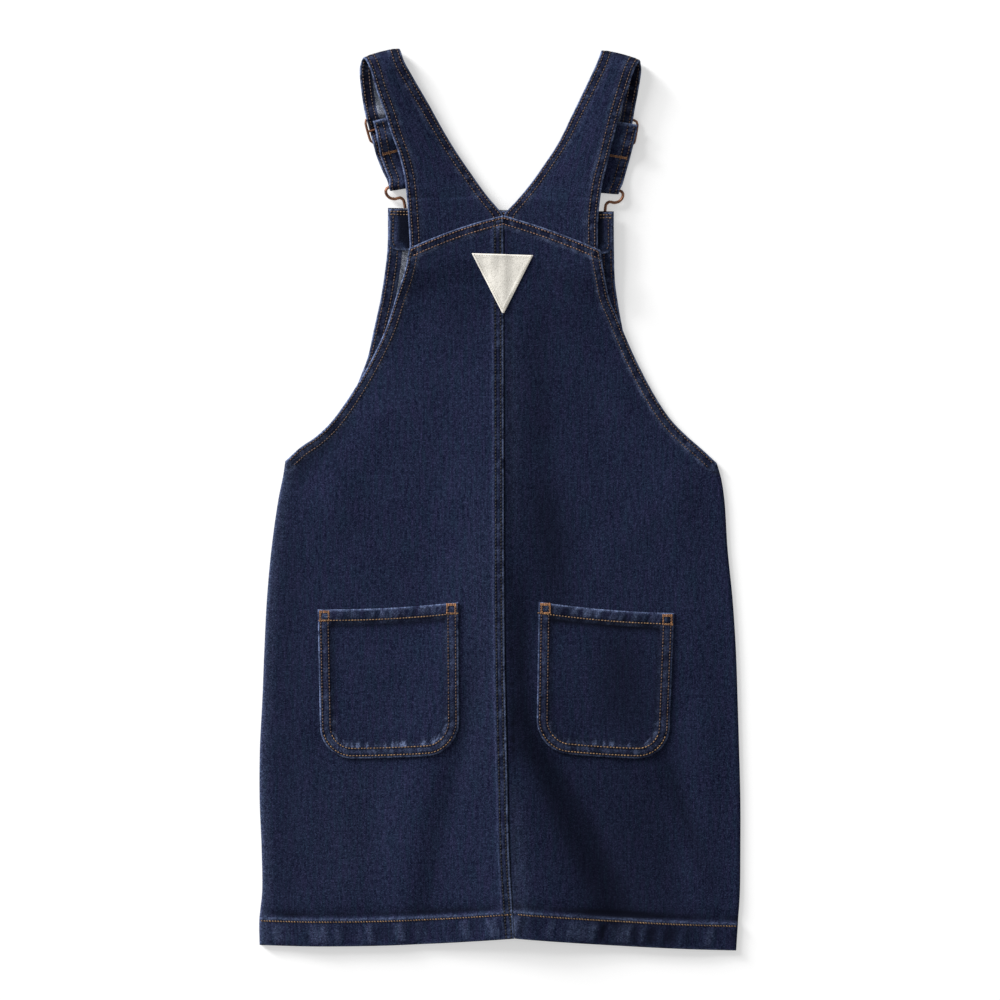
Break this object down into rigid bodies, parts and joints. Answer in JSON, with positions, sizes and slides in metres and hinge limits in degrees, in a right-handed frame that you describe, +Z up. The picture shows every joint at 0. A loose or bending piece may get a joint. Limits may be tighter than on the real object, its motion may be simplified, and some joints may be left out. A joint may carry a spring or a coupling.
{
  "type": "pinafore dress",
  "caption": "Denim pinafore dress laid flat with its back up: A-line skirt, patch pockets, felled centre seam, and straps over the shoulders to wire sliders and buckles on the bib.",
  "frame": {"origin": "under the middle of the dress's bounding box, on the surface that it lies on", "axes": "+Y from the hem to the shoulders, +X to the right of the back as it shows, +Z up from the surface, out of the back"},
  "size_m": [0.3855, 0.7221, 0.0119],
  "materials": {
    "denim": "dark indigo stretch twill with worn seams and copper thread",
    "label_cloth": "plain cream woven label",
    "copper_wire": "antique copper plated wire",
    "copper_button": "antique copper plated casting"
  },
  "bodies": {
    "root": {"front_panel": "denim", "bib_facing": "denim", "back_panel_left": "denim", "back_panel_right": "denim", "strap_left": "denim", "strap_right": "denim", "pocket_left": "denim", "pocket_right": "denim", "label": "label_cloth", "slider_left": "copper_wire", "slider_right": "copper_wire", "buckle_left": "copper_wire", "buckle_right": "copper_wire", "button_left": "copper_button", "button_right": "copper_button"}
  },
  "joints": []
}
